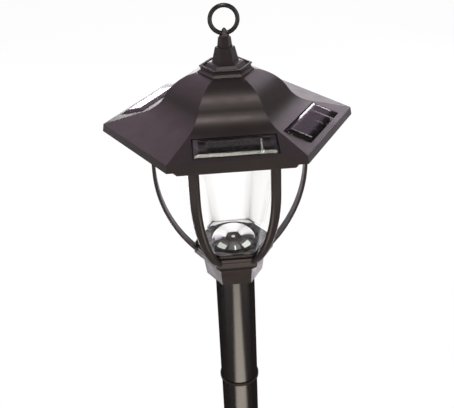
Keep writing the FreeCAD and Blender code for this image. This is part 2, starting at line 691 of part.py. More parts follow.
def tray():
    """Shallow hexagonal tray that closes the roof from below and carries the electrics."""
    wall_top = land - size.gasket_height
    outer = hex_loft("tray_outer", (tray_radius - size.tray_edge, tray_low),
                     (tray_radius, tray_low + size.tray_edge), (tray_radius, wall_top))
    inner = prism("tray_inner", inset(tray_radius, size.tray_wall), floor_top, wall_top - floor_top)
    shell = cut("tray_shell", outer, inner)
    post = rod("board_post", size.boss_radius, (size.board_screw_spacing / 2, 0, floor_top), size.board_lift)
    solid = fuse("tray_solid", shell, around("board_posts", post, (0, 180)))
    roof_hole = rod("roof_screw_hole", size.screw_radius, (roof_screw_radius, 0, tray_low), size.tray_floor)
    roof_sink = rod("roof_screw_sink", size.screw_head_radius, (roof_screw_radius, 0, tray_low),
                    size.screw_head_height)
    ring_hole = rod("ring_pilot", size.screw_radius, (ring_screw_apothem, 0, tray_low), size.tray_floor)
    board_hole_low = tray_low + size.board_screw_skin
    board_hole = rod("board_pilot", size.screw_radius, (size.board_screw_spacing / 2, 0, board_hole_low),
                     floor_top + size.board_lift - board_hole_low)
    lamp_hole = rod("lamp_hole", size.holder_radius, (0, 0, tray_low), size.tray_floor)
    return cut("tray", solid, lamp_hole,
               around("roof_screw_holes", fuse("roof_screw_void", roof_hole, roof_sink), CORNERS),
               around("ring_pilots", ring_hole, RING_SCREW_FACES),
               around("board_pilots", board_hole, (0, 180)),
               turned("tray_door_void", door_opening(), BATTERY_FACE),
               turned("tray_switch_void", switch_opening(), SWITCH_FACE))


def door_opening():
    """Opening for the battery door: full size below, less a ledge above, and the hinge's holes."""
    low_x = cartridge_apothem - size.door_width / 2 - size.snug_gap
    high_x = hinge_x + size.hinge_room
    half = size.door_length / 2 + size.snug_gap
    step = size.door_thickness + size.running_clearance
    lower = box("door_void_lower", (low_x, -half, tray_low), (high_x - low_x, half * 2, step))
    inner_half = half - size.door_ledge
    upper = box("door_void_upper", (low_x + size.door_ledge, -inner_half, tray_low + step),
                (high_x - low_x - size.door_ledge, inner_half * 2, size.tray_floor - step))
    knuckle = box("door_void_hinge", (hinge_x - size.hinge_room, -half, tray_low),
                  (size.hinge_room * 2, half * 2, size.tray_floor))
    pin_reach = size.door_length / 2 + size.hinge_pin_length + size.snug_gap
    pin_hole = rod("door_pin_hole", size.hinge_pin_radius + size.running_clearance,
                   (hinge_x, -pin_reach, hinge_z), pin_reach * 2, "y")
    return fuse("door_void", lower, upper, knuckle, pin_hole)


def switch_opening():
    """Slot for the switch knob with a shallow thumb recess below it."""
    slot_length = size.knob_length + size.switch_travel + size.snug_gap * 2
    slot_width = size.knob_width + size.snug_gap * 2
    centre_y = size.switch_travel / 2
    slot = centred_box("switch_slot", switch_apothem, tray_low, (slot_width, slot_length, size.tray_floor),
                       centre_y)
    recess = centred_box("switch_recess", switch_apothem, tray_low,
                         (slot_width + size.thumb_margin * 2, slot_length + size.thumb_margin * 2,
                          size.thumb_depth), centre_y)
    return fuse("switch_void", slot, recess)


def gasket():
    radius = tray_radius - size.drop_in_gap
    outer = prism("gasket_outer", radius, land - size.gasket_height, size.gasket_height)
    inner = prism("gasket_inner", inset(radius, size.gasket_width), land - size.gasket_height,
                  size.gasket_height)
    return cut("gasket", outer, inner)


def tray_screws():
    seat = tray_low + size.screw_head_height
    one = screw("tray_screw", seat, eave - seat, roof_screw_radius, head_up=False)
    return around("tray_screws", one, CORNERS)


# ---------------------------------------------------------------- roof

def ogee_roof(label, drop):
    """Solid six-sided roof: a hexagonal block with the brim, sweep and crown cut from each side.

    The profile lies square to the eave: flat brim, hollow sweep, steep stretch, round crown.
    """
    body = new_body(label, eave - drop)
    foot_radius = size.eave_radius + size.fascia_flare
    rise = roof_top - eave
    block_sides = []
    for step in range(6):
        turn = math.radians(60 * step)
        block_sides.append((foot_radius * math.cos(turn), foot_radius * math.sin(turn)))
    base = outline(body, f"{label}_plan", "XY_Plane", block_sides)
    block = body.newObject("PartDesign::Pad", f"{label}_block")
    block.Profile = base
    block.SideType = "Two sides"
    bind(block, {"Length": rise, "Length2": size.fascia_height})
    eave_x = apothem(size.eave_radius)
    brim = (eave_x - size.brim_width, size.brim_width * sine(size.brim_angle) / cosine(size.brim_angle))
    sweep = (brim[0] - size.sweep_radius * (sine(size.steep_angle) - sine(size.brim_angle)),
             brim[1] + size.sweep_radius * (cosine(size.brim_angle) - cosine(size.steep_angle)))
    steep = (sweep[0] - size.steep_length * cosine(size.steep_angle),
             sweep[1] + size.steep_length * sine(size.steep_angle))
    crown_x = steep[0] - size.crown_radius * (sine(size.steep_angle) - sine(size.crown_angle))
    foot_x = apothem(foot_radius)
    far = foot_x + size.fascia_flare
    corners = [(foot_x, -size.fascia_height), (eave_x, 0), brim, sweep, steep, (crown_x, rise), (far, rise),
               (far, -size.fascia_height)]
    arcs = {2: (size.sweep_radius, -1), 4: (size.crown_radius, 1)}
    profile = outline(body, f"{label}_profile", "YZ_Plane", corners, arcs)
    doc.recompute()
    side = body.newObject("PartDesign::Pocket", f"{label}_side")
    side.Profile = profile
    side.SideType = "Symmetric"
    bind(side, {"Length": foot_radius * 2 + size.fascia_flare * 2})
    pattern = body.newObject("PartDesign::PolarPattern", f"{label}_sides")
    pattern.Originals = [side]
    pattern.Axis = (origin_feature(body, "Z_Axis"), [""])
    pattern.Angle = 360
    pattern.Occurrences = 6
    body.Tip = pattern
    doc.recompute()
    if body.Shape.Volume > block.Shape.Volume * 0.9:
        raise RuntimeError(f"{label}: the sides were not cut")
    return body


def brim_block(label, length, width, low, height):
    """Block on the brim in the panel's place, from the brim's surface."""
    return centred_box(label, -size.panel_centre, low, (width, length, height))


def roof_shell():
    """Moulded roof: ogee shell, gasket land, screw posts and a recess for each solar panel."""
    solid = ogee_roof("roof_solid", 0)
    hollow = ogee_roof("roof_hollow", size.shell_drop)
    room = prism("roof_room", tray_radius - size.land_width, land, roof_top - land)
    eave_room = prism("roof_eave_room", size.eave_radius - size.fascia_wall, eave - size.fascia_height,
                      size.fascia_height - size.land_drop)
    shell = cut("roof_wall", solid, common("roof_cavity", room, hollow), eave_room)
    post = rod("roof_post", size.boss_radius, (roof_screw_radius, 0, floor_top), roof_top - floor_top)
    recess_length = size.panel_length + size.panel_gap * 2
    recess_width = size.panel_width + size.panel_gap * 2
    pan_depth = size.recess_depth + size.recess_floor
    pan = brim_block("panel_pan", recess_length + size.recess_floor * 2, recess_width + size.recess_floor * 2,
                     -pan_depth, pan_depth * 2)
    recess = brim_block("panel_recess", recess_length, recess_width, -size.recess_depth,
                        size.recess_depth * 2)
    pans = [on_brim(f"panel_pan_{azimuth}", pan, azimuth) for azimuth in PANEL_FACES]
    recesses = [on_brim(f"panel_recess_{azimuth}", recess, azimuth) for azimuth in PANEL_FACES]
    posts = common("roof_posts_trimmed", around("roof_posts", post, CORNERS),
                   fuse("roof_envelope", solid, prism("roof_post_zone", tray_radius, floor_top,
                                                      eave - floor_top)))
    pans_trimmed = common("panel_pans_trimmed", group("panel_pans", *pans), solid)
    pilot = rod("roof_pilot", size.screw_radius, (roof_screw_radius, 0, floor_top), eave - floor_top)
    stud_hole = rod("roof_stud_hole", size.stud_radius, (0, 0, land), roof_top - land)
    return cut("roof_shell", fuse("roof_filled", shell, posts, pans_trimmed),
               group("panel_recesses", *recesses), around("roof_pilots", pilot, CORNERS), stud_hole)


def edges_at(feature, level):
    """Names of the feature's edges that lie wholly at a level."""
    doc.recompute()
    return [f"Edge{number}" for number, edge in enumerate(feature.Shape.Edges, 1)
            if abs(edge.BoundBox.ZMin - level.value) + abs(edge.BoundBox.ZMax - level.value) < TOLERANCE]


def cover_form():
    """The panels' clear cover in its place on the brim: a plate with a wide, softened bevel."""
    body = new_body("cover_form")
    near = -size.panel_centre - size.panel_width / 2
    far = near + size.panel_width
    half_length = size.panel_length / 2
    block = body.newObject("PartDesign::Pad", "cover_block")
    corners = [(near, -half_length), (far, -half_length), (far, half_length), (near, half_length)]
    block.Profile = outline(body, "cover_plan", "XY_Plane", corners)
    block.SideType = "Two sides"
    bind(block, {"Length": size.panel_rise, "Length2": size.recess_depth})
    bevel = body.newObject("PartDesign::Chamfer", "cover_bevel")
    bevel.Base = (block, edges_at(block, size.panel_rise))
    bevel.ChamferType = "Two distances"
    bind(bevel, {"Size": size.panel_rise, "Size2": size.panel_bevel})
    before = bevel
    for name, level, softness in (("top", size.panel_rise, size.panel_top_softness),
                                  ("foot", size.panel_rise * 0, size.panel_foot_softness)):
        soft = body.newObject("PartDesign::Fillet", f"cover_{name}_soft")
        soft.Base = (before, edges_at(before, level))
        bind(soft, {"Radius": softness})
        before = soft
    return body


def solar_panels():
    """On each panel face a solar cell on the recess's floor, under a cover that is hollow for it."""
    low = -size.recess_depth
    cell = brim_block("cell_block", size.cell_length, size.cell_width, low, size.cell_thickness)
    room = brim_block("cover_room", size.cell_length + size.drop_in_gap * 2,
                      size.cell_width + size.drop_in_gap * 2, low, size.cell_thickness)
    cover = cut("cover_moulding", cover_form(), room)
    for number, azimuth in enumerate(PANEL_FACES, 1):
        on_brim(f"solar_cell_{number}", cell, azimuth)
        on_brim(f"panel_cover_{number}", cover, azimuth)


def roof_cap():
    """Hexagonal cap with a raised lip, clamped to the roof by the finial's stud."""
    sides = hex_loft("cap_sides", (size.cap_radius, roof_top),
                     (size.cap_lip_radius, roof_top + size.cap_height))
    top = hex_loft("cap_top", (size.cap_lip_radius - size.cap_lip * 2, roof_top + size.cap_height),
                   (size.finial_foot_radius, finial_low))
    lip = prism("cap_lip", size.cap_lip_radius + size.cap_lip, roof_top + size.cap_height - size.cap_lip * 2,
                size.cap_lip * 2)
    hole = rod("cap_hole", size.stud_radius, (0, 0, roof_top), finial_low - roof_top)
    return cut("roof_cap", fuse("cap_solid", sides, lip, top), hole)


def finial():
    """Two-step hexagonal spire with a flared eye for the hanging ring and a stud below."""
    foot = hex_loft("finial_foot", (size.finial_foot_radius, finial_low),
                    (size.finial_waist_radius, spire_low))
    spire = hex_loft("finial_spire", (size.spire_foot_radius, spire_low),
                     (size.spire_eye_radius, spire_low + size.spire_eye_height),
                     (size.spire_tip_radius, spire_low + size.spire_height))
    stud = rod("finial_stud", size.stud_radius, (0, 0, finial_low - size.stud_length), size.stud_length)
    throat = rod("eye_throat", eye_radius, (-size.spire_foot_radius, 0, eye), size.spire_foot_radius * 2, "x")
    mouths = []
    for name, way in (("east", 1), ("west", -1)):
        mouth = doc.addObject("Part::Cone", f"eye_mouth_{name}")
        turn = FreeCAD.Rotation(FreeCAD.Vector(0, 1, 0), 90 * way)
        mouth.Placement = FreeCAD.Placement(FreeCAD.Vector(), turn)
        bind(mouth, {"Radius1": eye_radius, "Radius2": size.eye_mouth_radius,
                     "Height": size.spire_eye_radius - size.eye_throat / 2,
                     "Placement.Base.x": size.eye_throat / 2 * way, "Placement.Base.z": eye})
        mouths.append(mouth)
    return cut("finial", fuse("finial_solid", foot, spire, stud), throat, *mouths)


def finial_nut():
    low = roof_top - size.shell_drop - size.nut_height
    blank = prism("nut_blank", size.nut_radius, low, size.nut_height)
    return cut("finial_nut", blank, rod("nut_hole", size.stud_radius, (0, 0, low), size.nut_height))


def hanging_ring():
    """Round ring through the finial's eye, standing upright."""
    item = doc.addObject("Part::Torus", "hanging_ring")
    item.Placement = FreeCAD.Placement(FreeCAD.Vector(), FreeCAD.Rotation(FreeCAD.Vector(1, 0, 0), 90))
    return bind(item, {"Radius1": size.loop_radius, "Radius2": size.loop_wire_radius,
                       "Placement.Base.z": eye + size.loop_radius})


# ---------------------------------------------------------------- electrics

def battery_parts():
    """Battery, its box and contacts over the door in the tray's floor."""
    middle = cartridge_apothem
    outer_length = size.box_inner_length + size.box_wall * 2
    shell = centred_box("box_outer", middle, floor_top, (box_outer_width, outer_length, size.box_height))
    room = centred_box("box_room", middle, floor_top,
                       (size.box_inner_width, size.box_inner_length, size.box_height - size.box_wall))
    turned("battery_box", cut("box_moulding", shell, room), BATTERY_FACE)
    battery_z = tray_low + size.door_thickness + size.drop_in_gap + size.battery_radius
    whole = size.battery_length + size.battery_button
    cell = rod("battery_can", size.battery_radius, (middle, -whole / 2, battery_z), size.battery_length, "y")
    button = rod("battery_button_end", size.battery_button_radius,
                 (middle, -whole / 2 + size.battery_length, battery_z), size.battery_button, "y")
    turned("battery", fuse("battery_solid", cell, button), BATTERY_FACE)
    plate = size.contact_thickness
    room_end = size.box_inner_length / 2
    leaf_width = size.contact_width
    contacts = []
    for name, way in (("plus", 1), ("minus", -1)):
        reach = room_end - plate
        low_y = reach if way > 0 else -room_end
        leaf = box(f"contact_{name}", (middle - leaf_width / 2, low_y, battery_z - leaf_width / 2),
                   (leaf_width, plate, leaf_width))
        spring = rod(f"contact_spring_{name}", size.spring_radius,
                     (middle, whole / 2 if way > 0 else -reach, battery_z), reach - whole / 2, "y")
        contacts.append(fuse(f"contact_{name}_solid", leaf, spring))
    turned("battery_contacts", group("contact_pair", *contacts), BATTERY_FACE)


def battery_door():
    """Door in the tray's floor, hinged on its outer edge, with a thumb notch opposite."""
    half = size.door_length / 2
    low_x = cartridge_apothem - size.door_width / 2
    plate = box("door_plate", (low_x, -half, tray_low),
                (size.door_width, size.door_length, size.door_thickness))
    web_low = hinge_z - size.hinge_pin_radius
    web = box("door_web", (hinge_x - size.hinge_offset * 2, -half, web_low),
              (size.hinge_offset * 2, size.door_length, size.door_thickness / 2))
    barrel = rod("door_barrel", size.hinge_barrel_radius, (hinge_x, -half, hinge_z), size.door_length, "y")
    reach = half + size.hinge_pin_length
    pin = rod("door_pin", size.hinge_pin_radius, (hinge_x, -reach, hinge_z), reach * 2, "y")
    notch = centred_box("door_notch", low_x, tray_low,
                        (size.notch_width, size.notch_length, size.notch_depth))
    return turned("battery_door", cut("door_moulding", fuse("door_solid", plate, web, barrel, pin), notch),
                  BATTERY_FACE)


def switch_parts():
    """Slide switch in the tray's floor: housing above, knob through the slot."""
    middle = switch_apothem
    centre_y = size.switch_travel / 2
    room_length = size.knob_plate_length + size.switch_travel + size.snug_gap * 2
    room_height = size.knob_plate_height + size.snug_gap * 2
    wall = size.switch_wall * 2
    shell = centred_box("switch_outer", middle, floor_top,
                        (switch_room_width + wall, room_length + wall, size.switch_height), centre_y)
    room = centred_box("switch_room", middle, floor_top, (switch_room_width, room_length, room_height),
                       centre_y)
    turned("switch_body", cut("switch_housing", shell, room), SWITCH_FACE)
    plate = centred_box("knob_plate", middle, floor_top + size.snug_gap,
                        (size.knob_plate_width, size.knob_plate_length, size.knob_plate_height))
    knob = centred_box("knob_block", middle, tray_low - size.knob_reach,
                       (size.knob_width, size.knob_length, size.knob_reach + size.tray_floor + size.snug_gap))
    grips = [centred_box(f"knob_grip_{name}", middle, tray_low - size.knob_reach,
                         (size.knob_width, size.grip_width, size.grip_depth), size.grip_spacing * way)
             for name, way in (("left", -1), ("middle", 0), ("right", 1))]
    turned("switch_slider", cut("switch_knob", fuse("knob_solid", plate, knob), group("knob_grips", *grips)),
           SWITCH_FACE)


def light_parts():
    """Circuit board over the lamp, the lamp's holder in the tray's floor, and the lamp."""
    board_low = floor_top + size.board_lift
    screw_x = size.board_screw_spacing / 2
    blank = centred_box("board_blank", 0, board_low,
                        (size.board_length, size.board_width, size.board_thickness))
    hole = rod("board_hole", size.screw_radius, (screw_x, 0, board_low), size.board_thickness)
    cut("circuit_board", blank, around("board_holes", hole, (0, 180)))
    seat = board_low + size.board_thickness
    one = screw("board_screw", seat, seat - tray_low - size.board_screw_skin, screw_x)
    around("board_screws", one, (0, 180))
    barrel = board_low - tray_low
    flange = size.holder_radius + size.holder_flange
    lamp_case = size.lamp_radius + size.lamp_rim
    flange_low = -size.holder_flange_height
    corners = [(size.lamp_radius, flange_low), (flange, flange_low), (flange, 0), (size.holder_radius, 0),
               (size.holder_radius, barrel), (lamp_case, barrel), (lamp_case, barrel - size.lamp_rim * 2),
               (size.lamp_radius, barrel - size.lamp_rim * 2)]
    revolved("light_holder", tray_low, corners)
    straight = size.lamp_length - size.lamp_radius
    lamp = [(0, -size.lamp_length), (size.lamp_radius, -straight), (size.lamp_radius, -size.lamp_rim * 2),
            (lamp_case, -size.lamp_rim * 2), (lamp_case, 0), (0, 0)]
    revolved("lamp", board_low, lamp, {0: (size.lamp_radius, 1)})


# ---------------------------------------------------------------- assembly

def build():
    ground_spike()
    pole_coupler()
    poles()
    pole_socket()
    ribs = [cage_rib(number, azimuth) for number, azimuth in enumerate(CORNERS, 1)]
    base_plate(ribs)
    base_screws()
    reflector()
    lens()
    cage_ring()
    cage_screws()
    tray()
    gasket()
    tray_screws()
    roof_shell()
    solar_panels()
    roof_cap()
    finial()
    finial_nut()
    hanging_ring()
    battery_parts()
    battery_door()
    switch_parts()
    light_parts()
    doc.recompute()


NODES = (["ground_spike", "pole_lower", "pole_coupler", "pole_upper", "pole_socket", "base_plate",
          "base_screws", "reflector", "lens", "cage_ring", "cage_screws", "tray", "gasket", "tray_screws",
          "roof_shell", "roof_cap", "finial", "finial_nut", "hanging_ring", "circuit_board",
          "board_screws", "light_holder", "lamp", "battery_box", "battery", "battery_contacts",
          "battery_door", "switch_body", "switch_slider"]
         + [f"cage_rib_{number}" for number in range(1, len(CORNERS) + 1)]
         + [f"solar_cell_{number}" for number in range(1, len(PANEL_FACES) + 1)]
         + [f"panel_cover_{number}" for number in range(1, len(PANEL_FACES) + 1)])


def check_and_export():
    """Stop on any failed object, then write one STEP file per node."""
    for item in doc.Objects:
        if "Invalid" in item.State or "Error" in item.State:
            raise RuntimeError(f"{item.Label}: {item.State}")
    shapes = {}
    for label in NODES:
        shape = doc.getObjectsByLabel(label)[0].Shape
        if shape.isNull() or not shape.isValid() or not shape.Solids:
            raise RuntimeError(f"{label}: no valid solid")
        shapes[label] = shape.Solids[0] if len(shape.Solids) == 1 else Part.makeCompound(shape.Solids)
    os.makedirs("parts", exist_ok=True)
    for label, shape in shapes.items():
        shape.exportStep(os.path.join("parts", f"{label}.step"))
        print(f"{label}: {len(shape.Solids)} solid(s), {shape.Volume:.0f} mm3")


build()
check_and_export()
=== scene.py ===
"""Looks of the solar garden light: bronze plastic, enamelled pole, mirror dome, clear lens, solar panels."""
import json
import math

import bpy
import bmesh
from mathutils import Matrix, Vector


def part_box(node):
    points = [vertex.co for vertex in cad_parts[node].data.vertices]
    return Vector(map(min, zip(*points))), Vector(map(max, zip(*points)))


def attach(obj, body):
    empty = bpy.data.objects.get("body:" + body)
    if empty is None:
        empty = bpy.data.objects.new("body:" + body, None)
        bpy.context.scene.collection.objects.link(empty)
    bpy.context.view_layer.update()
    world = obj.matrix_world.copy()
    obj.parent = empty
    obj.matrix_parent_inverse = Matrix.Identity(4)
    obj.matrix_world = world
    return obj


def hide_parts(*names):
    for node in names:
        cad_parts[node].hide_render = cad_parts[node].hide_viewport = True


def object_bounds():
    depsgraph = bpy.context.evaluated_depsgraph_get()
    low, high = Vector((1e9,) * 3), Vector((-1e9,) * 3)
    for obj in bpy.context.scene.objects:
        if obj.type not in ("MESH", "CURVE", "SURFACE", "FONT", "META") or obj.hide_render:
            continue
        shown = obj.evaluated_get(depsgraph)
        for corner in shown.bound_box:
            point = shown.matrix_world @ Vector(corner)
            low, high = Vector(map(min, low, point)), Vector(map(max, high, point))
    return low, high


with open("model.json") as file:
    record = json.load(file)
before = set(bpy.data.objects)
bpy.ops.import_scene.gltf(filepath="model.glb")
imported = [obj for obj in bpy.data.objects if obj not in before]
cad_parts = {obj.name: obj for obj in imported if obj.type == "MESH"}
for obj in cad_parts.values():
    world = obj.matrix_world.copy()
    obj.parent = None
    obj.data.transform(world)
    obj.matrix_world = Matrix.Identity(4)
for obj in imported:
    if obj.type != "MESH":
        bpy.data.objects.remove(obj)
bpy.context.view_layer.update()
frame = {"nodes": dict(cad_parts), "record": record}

MM = 0.001
SLOT_OF = {row["node"]: row["material_slot"] for row in frame["record"]["subparts"]}


# ---------------------------------------------------------------- node helpers

# Most of a noise lies between these two
NOISE_LOW = 0.3
NOISE_HIGH = 0.7


class Graph:
    """A node tree with short ways to add to it."""

    def __init__(self, tree, coordinates="Object"):
        self.tree = tree
        self.place = self.add("ShaderNodeTexCoord").outputs[coordinates]
        self.axis = self.add("ShaderNodeSeparateXYZ", self.place).outputs

    def give(self, source, target):
        """Links a socket to an input, or sets the input to a number, a vector or a colour."""
        if isinstance(source, bpy.types.NodeSocket):
            self.tree.links.new(source, target)
        elif target.type == "RGBA":
            target.default_value = (*source, 1)
        else:
            target.default_value = source

    def add(self, kind, *sources, **settings):
        """A node with these settings, whose first inputs are given these sources."""
        node = self.tree.nodes.new(kind)
        for key, value in settings.items():
            setattr(node, key, value)
        for source, target in zip(sources, node.inputs):
            self.give(source, target)
        return node

    def fill(self, node, **sources):
        """Gives a node's inputs their sources by name, with _ for a blank, and returns the node."""
        for key, source in sources.items():
            self.give(source, node.inputs[key.replace("_", " ")])
        return node

    def stretched(self, scale):
        """The coordinates, stretched by a scale for each axis."""
        return self.fill(self.add("ShaderNodeMapping"), Vector=self.place, Scale=scale).outputs["Vector"]

    def from_axis(self):
        """Distance from the upright axis."""
        level = self.stretched((1, 1, 0))
        return self.add("ShaderNodeVectorMath", level, operation="LENGTH").outputs["Value"]

    def noise(self, grain, detail=3.0, stretch=None):
        """A noise whose features are about grain metres wide."""
        place = self.stretched(stretch) if stretch else self.place
        node = self.add("ShaderNodeTexNoise")
        return self.fill(node, Vector=place, Scale=1 / grain, Detail=detail).outputs["Fac"]

    def spread(self, value, low, high, start=NOISE_LOW, end=NOISE_HIGH, easing="LINEAR"):
        """Goes from low to high while a value goes from start to end."""
        node = self.add("ShaderNodeMapRange", interpolation_type=easing)
        self.fill(node, Value=value, From_Min=start, From_Max=end, To_Min=low, To_Max=high)
        return node.outputs["Result"]

    def blend(self, factor, first, second, kind="RGBA"):
        """A mix of two colours, or of two numbers, by a factor."""
        node = self.add("ShaderNodeMix", data_type=kind)
        return self.fill(node, Factor=factor, A=first, B=second).outputs["Result"]

    def result(self, operation, first, second):
        """What an operation such as MULTIPLY or MAXIMUM makes of two numbers."""
        return self.add("ShaderNodeMath", first, second, operation=operation).outputs["Value"]

    def facing(self):
        """0 where a surface faces the viewer, 1 where it is seen edge-on."""
        return self.add("ShaderNodeLayerWeight").outputs["Facing"]

    def ray_is(self, *names):
        """1 for rays of these kinds, 0 for others."""
        path = self.add("ShaderNodeLightPath").outputs
        total = path[names[0]]
        for name in names[1:]:
            total = self.result("MAXIMUM", total, path[name])
        return total

    def glow(self, colour, strength=1.0, kind="ShaderNodeEmission"):
        """A shader of plain light."""
        return self.add(kind, colour, strength).outputs[0]

    def mixed(self, factor, first, second):
        """A mix of two shaders by a factor."""
        return self.add("ShaderNodeMixShader", factor, first, second).outputs["Shader"]

    def show(self, shader, output="Material Output"):
        """Makes a shader what the tree shows."""
        self.give(shader, self.tree.nodes[output].inputs["Surface"])
        return self


class Finish(Graph):
    """A material under construction: a Principled shader and what feeds it."""

    def __init__(self, name):
        self.material = bpy.data.materials.new(name)
        self.material.use_nodes = True
        super().__init__(self.material.node_tree)
        self.shader = self.tree.nodes["Principled BSDF"]

    def feed(self, **sources):
        """Gives the shader's inputs their sources."""
        self.fill(self.shader, **sources)
        return self

    def relief(self, height, depth, strength):
        """Bump from a height, depth metres deep."""
        bump = self.fill(self.add("ShaderNodeBump"), Height=height, Distance=depth, Strength=strength)
        return self.feed(Normal=bump.outputs["Normal"])

    def through(self, factor, share, colour):
        """Lets light through as milky plastic does, up to a share where the factor is 1."""
        milky = self.add("ShaderNodeBsdfTranslucent", colour).outputs["BSDF"]
        return self.show(self.mixed(self.spread(factor, 0, share, 0, 1), self.shader.outputs["BSDF"], milky))

    def glazed(self, index, tint):
        """Makes the shader a thin clear sheet's reflection, over what is behind it."""
        clear = self.add("ShaderNodeBsdfTransparent", tint).outputs["BSDF"]
        fresnel = self.add("ShaderNodeFresnel", index).outputs["Fac"]
        return self.show(self.mixed(fresnel, clear, self.shader.outputs["BSDF"]))


# ---------------------------------------------------------------- materials

# Specular level of the bronze plastic, on the base and above it, and the heights between which it changes
BASE_SHEEN = (0.08, 0.5)
BASE_TOP = (0.262, 0.274)
BRONZE_SHEEN_TINT = (1, 0.88, 0.92)

# Specular level of the pole's enamel, in front and at its edges, and how far it is turned where it changes
POLE_SHEEN = (0.85, 0.0)
POLE_EDGE = (0.3, 0.48)

# The front of the lens is clear: how much it hides face-on and edge-on, and how far it is turned where that
# changes
CLEAR_ALPHA = (0.01, 0.07)
CLEAR_EDGE = (0.55, 1.0)

# Its rear half is made milky, a painted glare of the bright backdrop behind it, over these places on Y and
# Z, where it hides this much and lets this share of light through
GLARE_MILK_EDGE = (0.007, 0.015)
GLARE_MILK_FOOT = (0.2822, 0.2834)
GLARE_MILK_ALPHA = (0.70, 0.80)
GLARE_MILK_GLOW = 0.85
GLARE_MILK_TINT = (0.97, 0.97, 0.96)

# Its rear foot carries a painted shadow line, dark below these heights and behind these places on Y
FOOT_SHADOW_LINE = (0.2812, 0.2816)
FOOT_SHADOW_BEHIND = (0.0215, 0.0225)
FOOT_SHADOW_ALPHA = 0.8
FOOT_SHADOW_COLOUR = (0.03, 0.027, 0.03)

# The panels' covers
COVER_INDEX = 1.5
COVER_TINT = (0.96, 0.94, 0.94)

# The reflector carries a painted dark reflection, and is duller, outside these distances from the axis and
# in front of these places on Y
DARK_REFLECTION_START = (0.0186, 0.0189)
DARK_REFLECTION_BEHIND = (0.0195, 0.0205)

# Scales of the silicon's crystals and of the board's tracks, and the size of the gap between tracks
CRYSTAL_SCALE = 160
TRACK_SCALE = 220
TRACK_GAP = 0.06


def moulded_plastic(name, dark, light, rough):
    """Satin moulded plastic: faint mottling, uneven gloss and a fine spark-eroded grain."""
    finish = Finish(name)
    mottle = finish.noise(0.022, detail=4.0)
    finish.feed(
        Base_Color=finish.blend(finish.spread(mottle, 0, 1), dark, light),
        Roughness=finish.spread(finish.noise(0.009), *rough),
    )
    return finish.relief(finish.noise(0.0005, detail=2.0), depth=0.00004, strength=0.5)


def speckled(name, first, second, patch, rough, haze, grain, depth, strength, stretch=None, **settings):
    """Patches of two colours, uneven gloss and a fine grain; patch, haze and grain are their widths."""
    finish = Finish(name)
    finish.feed(
        Base_Color=finish.blend(finish.noise(patch), first, second),
        Roughness=finish.spread(finish.noise(haze), *rough),
        **settings,
    )
    return finish.relief(finish.noise(grain, stretch=stretch), depth, strength)


def dark_plastic():
    """Brown-black plastic whose sheen is faintly violet."""
    dark, light = (0.0185, 0.0140, 0.0135), (0.0235, 0.0175, 0.0170)
    finish = moulded_plastic("dark_bronze_plastic", dark, light, (0.35, 0.44))
    return finish.feed(
        Specular_IOR_Level=finish.spread(finish.axis["Z"], *BASE_SHEEN, *BASE_TOP),
        Specular_Tint=BRONZE_SHEEN_TINT,
    )


def painted_metal():
    """Black-brown stove enamel on drawn tube, with faint streaks along the pole."""
    finish = Finish("painted_tube")
    streak = finish.noise(0.004, stretch=(1, 1, 0.04))
    finish.feed(
        Base_Color=finish.blend(finish.spread(streak, 0, 1), (0.009, 0.0075, 0.008), (0.013, 0.0108, 0.011)),
        Roughness=finish.spread(streak, 0.22, 0.28),
        Specular_IOR_Level=finish.spread(finish.facing(), *POLE_SHEEN, *POLE_EDGE),
    )
    return finish.relief(finish.noise(0.0016, detail=2.0), depth=0.00002, strength=0.25)


def lens_acrylic():
    """Thin acrylic: clear in front, milky in the rear half (a painted glare), a painted shadow at the rear
    foot, slight flow lines.
    """
    finish = Finish("lens_acrylic")
    back, height = finish.axis["Y"], finish.axis["Z"]
    # The rear half turns milky: a painted glare of the bright backdrop behind it
    glare_milk = finish.result("MULTIPLY", finish.spread(back, 0, 1, *GLARE_MILK_EDGE),
                         finish.spread(height, 0, 1, *GLARE_MILK_FOOT))
    # A painted shadow line along the rear foot of the lens, dark and nearly opaque
    foot = finish.result("MULTIPLY", finish.spread(height, 1, 0, *FOOT_SHADOW_LINE),
                         finish.spread(back, 0, 1, *FOOT_SHADOW_BEHIND))
    clear = finish.spread(finish.facing(), *CLEAR_ALPHA, *CLEAR_EDGE)
    hidden = finish.blend(glare_milk, clear, finish.spread(finish.noise(0.02), *GLARE_MILK_ALPHA), "FLOAT")
    pale = finish.blend(finish.noise(0.03), (0.86, 0.85, 0.86), (0.92, 0.91, 0.92))
    finish.feed(
        Alpha=finish.result("MAXIMUM", hidden, finish.spread(foot, 0, FOOT_SHADOW_ALPHA, 0, 1)),
        Base_Color=finish.blend(foot, pale, FOOT_SHADOW_COLOUR),
        Roughness=finish.spread(finish.noise(0.02), 0.05, 0.1),
    )
    finish.through(glare_milk, GLARE_MILK_GLOW, GLARE_MILK_TINT)
    return finish.relief(finish.noise(0.03, detail=1.0, stretch=(1, 1, 0.3)), depth=0.00005, strength=0.3)


def cover_acrylic():
    """Clear glossy cover over a solar cell, a little smoky: it mirrors by its angle, else shows the cell."""
    finish = Finish("panel_cover_acrylic")
    finish.feed(
        Metallic=1.0,
        Base_Color=finish.blend(finish.noise(0.02), (0.93, 0.92, 0.92), (0.98, 0.97, 0.97)),
        Roughness=finish.spread(finish.noise(0.006), 0.04, 0.08),
    )
    finish.relief(finish.noise(0.016, detail=1.0), depth=0.00002, strength=0.05)
    return finish.glazed(COVER_INDEX, COVER_TINT)


